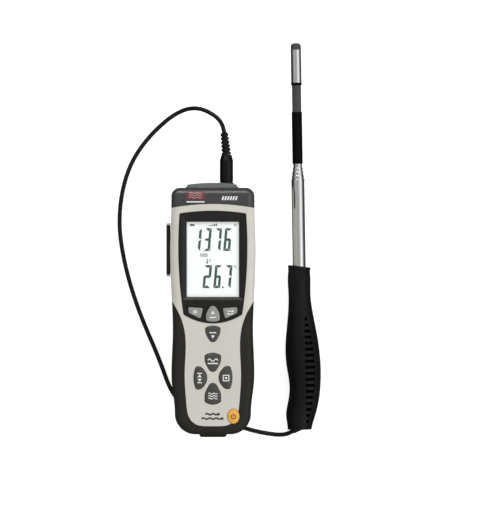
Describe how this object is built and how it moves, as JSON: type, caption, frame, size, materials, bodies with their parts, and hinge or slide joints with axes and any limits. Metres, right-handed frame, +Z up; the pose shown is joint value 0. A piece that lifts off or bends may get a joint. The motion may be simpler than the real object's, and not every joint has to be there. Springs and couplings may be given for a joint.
{
  "type": "hot-wire anemometer",
  "caption": "Handheld hot-wire anemometer: display meter with keys, and a telescopic wind probe on a thin cable plugged into its top.",
  "frame": {"origin": "middle of the object's outline on the surface it lies on, cable and plug left out", "axes": "+X to the right, +Y towards the meter's jack end and the probe's tip, +Z up out of the display"},
  "size_m": [0.1695, 0.3277, 0.049],
  "materials": {
    "case_light": "fine matt moulded texture",
    "case_dark": "fine matt moulded texture",
    "panel_grey": "satin",
    "overmould": "matt elastomer",
    "bezel_black": "satin",
    "window_clear": "clear polished",
    "lcd": "frosted white",
    "light_guide": "milky",
    "key_light": "satin",
    "key_dark": "satin",
    "key_orange": "satin",
    "circuit_board": "lacquered",
    "component_black": "matt",
    "steel": "bright",
    "socket_black": "satin",
    "battery_skin": "semi-gloss",
    "brass": "machined",
    "plug_black": "satin",
    "cable_rubber": "satin",
    "handle_black": "fine matt",
    "chrome_tube": "polished",
    "shaft_black": "satin",
    "stem_grey": "satin",
    "sensor_wire": "bare"
  },
  "bodies": {
    "base": {"battery": "battery_skin", "battery_contacts": "socket_black", "board_components": "component_black", "bottom_foot": "overmould", "cable_gland": "cable_rubber", "case_screws": "steel", "dc_jack": "socket_black", "display_bezel": "bezel_black", "display_window": "window_clear", "dome_switches": "steel", "front_case": "case_light", "front_grip_overmould": "overmould", "handle_collar": "handle_black", "handle_front": "handle_black", "handle_rear": "handle_black", "handle_screws": "steel", "head_cover": "case_dark", "jack_panel": "panel_grey", "lcd_backlight": "light_guide", "lcd_panel": "lcd", "main_board": "circuit_board", "plug_boot": "cable_rubber", "plug_pins": "brass", "port_board": "circuit_board", "probe_cable": "cable_rubber", "probe_jack": "socket_black", "probe_plug": "plug_black", "rear_case": "case_light", "rear_grip_overmould": "overmould", "tripod_insert": "brass", "tube_1": "chrome_tube", "usb_socket": "steel"},
    "left_soft_key": {"left_soft_key": "key_light"},
    "right_soft_key": {"right_soft_key": "key_light"},
    "up_key": {"up_key": "key_light"},
    "down_key": {"down_key": "key_dark"},
    "mean_key": {"mean_key": "key_dark"},
    "flow_key": {"flow_key": "key_dark"},
    "max_min_key": {"max_min_key": "key_dark"},
    "area_key": {"area_key": "key_dark"},
    "power_key": {"power_key": "key_orange"},
    "tilt_stand": {"tilt_stand": "case_dark"},
    "jack_cover": {"jack_cover": "overmould"},
    "battery_door": {"battery_door": "case_dark"},
    "section_2": {"tube_2": "chrome_tube", "tube_2_bush": "brass"},
    "section_3": {"tube_3": "chrome_tube", "tube_3_bush": "brass"},
    "section_4": {"tube_4": "chrome_tube", "tube_4_bush": "brass"},
    "section_5": {"tube_5": "chrome_tube", "tube_5_bush": "brass", "probe_shaft": "shaft_black", "sensor_stem": "stem_grey", "sensor_posts": "steel", "hot_wire": "sensor_wire", "temperature_sensor": "sensor_wire", "tip_cap": "stem_grey"},
    "sleeve": {"sensor_sleeve": "chrome_tube", "sleeve_collar": "shaft_black"}
  },
  "joints": [
    {"name": "left_soft_key_press", "type": "slide", "parent": "base", "child": "left_soft_key", "axis": [0, 0, -1], "range_m": [0, 0.0009], "stiffness_N_per_m": 400},
    {"name": "right_soft_key_press", "type": "slide", "parent": "base", "child": "right_soft_key", "axis": [0, 0, -1], "range_m": [0, 0.0009], "stiffness_N_per_m": 400},
    {"name": "up_key_press", "type": "slide", "parent": "base", "child": "up_key", "axis": [0, 0, -1], "range_m": [0, 0.0009], "stiffness_N_per_m": 400},
    {"name": "down_key_press", "type": "slide", "parent": "base", "child": "down_key", "axis": [0, 0, -1], "range_m": [0, 0.0009], "stiffness_N_per_m": 400},
    {"name": "mean_key_press", "type": "slide", "parent": "base", "child": "mean_key", "axis": [0, 0, -1], "range_m": [0, 0.0009], "stiffness_N_per_m": 400},
    {"name": "flow_key_press", "type": "slide", "parent": "base", "child": "flow_key", "axis": [0, 0, -1], "range_m": [0, 0.0009], "stiffness_N_per_m": 400},
    {"name": "max_min_key_press", "type": "slide", "parent": "base", "child": "max_min_key", "axis": [0, 0, -1], "range_m": [0, 0.0009], "stiffness_N_per_m": 400},
    {"name": "area_key_press", "type": "slide", "parent": "base", "child": "area_key", "axis": [0, 0, -1], "range_m": [0, 0.0009], "stiffness_N_per_m": 400},
    {"name": "power_key_press", "type": "slide", "parent": "base", "child": "power_key", "axis": [0, 0, -1], "range_m": [0, 0.0009], "stiffness_N_per_m": 400},
    {"name": "tilt_stand_hinge", "type": "hinge", "parent": "base", "child": "tilt_stand", "pos_m": [-0.0255, 0.0207, 0.0023], "axis": [1, 0, 0], "range_deg": [0, 60]},
    {"name": "jack_cover_hinge", "type": "hinge", "parent": "base", "child": "jack_cover", "pos_m": [-0.06247, -0.0086, 0.0354], "axis": [0, 1, 0], "range_deg": [0, 100]},
    {"name": "battery_door_lift", "type": "slide", "parent": "base", "child": "battery_door", "axis": [0, 0, -1], "range_m": [0, 0.008]},
    {"name": "section_2_slide", "type": "slide", "parent": "base", "child": "section_2", "axis": [-0.0157, 0.9999, 0], "range_m": [0, 0.157]},
    {"name": "section_3_slide", "type": "slide", "parent": "section_2", "child": "section_3", "axis": [-0.0157, 0.9999, 0], "range_m": [0, 0.157]},
    {"name": "section_4_slide", "type": "slide", "parent": "section_3", "child": "section_4", "axis": [-0.0157, 0.9999, 0], "range_m": [0, 0.157]},
    {"name": "section_5_slide", "type": "slide", "parent": "section_4", "child": "section_5", "axis": [-0.0157, 0.9999, 0], "range_m": [0, 0.157]},
    {"name": "sleeve_slide", "type": "slide", "parent": "section_5", "child": "sleeve", "axis": [0.0157, -0.9999, 0], "range_m": [0, 0.02]}
  ]
}
